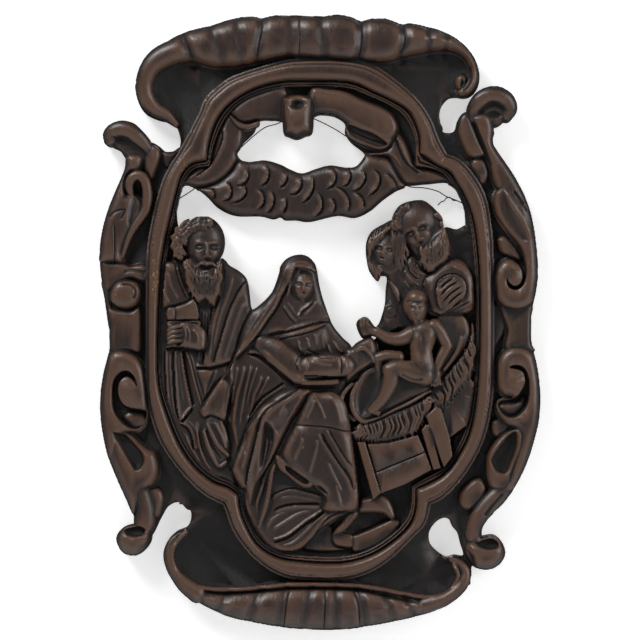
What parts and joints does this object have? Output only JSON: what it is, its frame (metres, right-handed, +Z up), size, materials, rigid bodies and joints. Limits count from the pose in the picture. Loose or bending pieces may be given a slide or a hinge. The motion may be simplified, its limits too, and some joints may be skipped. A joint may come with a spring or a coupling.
{
  "type": "carved wood relief",
  "caption": "Pierced cartouche-shaped wall relief in carved wood: scrolled frame, stepped moulding and a seated and standing group with a child in a manger.",
  "frame": {"origin": "on the flat back face, about the middle of the panel", "axes": "+Z up the panel, -Y out of the carved front, +X to the viewer's right seen from the front"},
  "size_m": [0.6399, 0.0568, 0.8925],
  "materials": {
    "wood": "dark brown stain and old wax, worn to bare ochre wood on edges",
    "iron": "dull dark iron"
  },
  "bodies": {
    "root": {"carved_relief": "wood", "hanging_wire": "iron", "wire_nail_left": "iron", "wire_nail_right": "iron"}
  },
  "joints": []
}
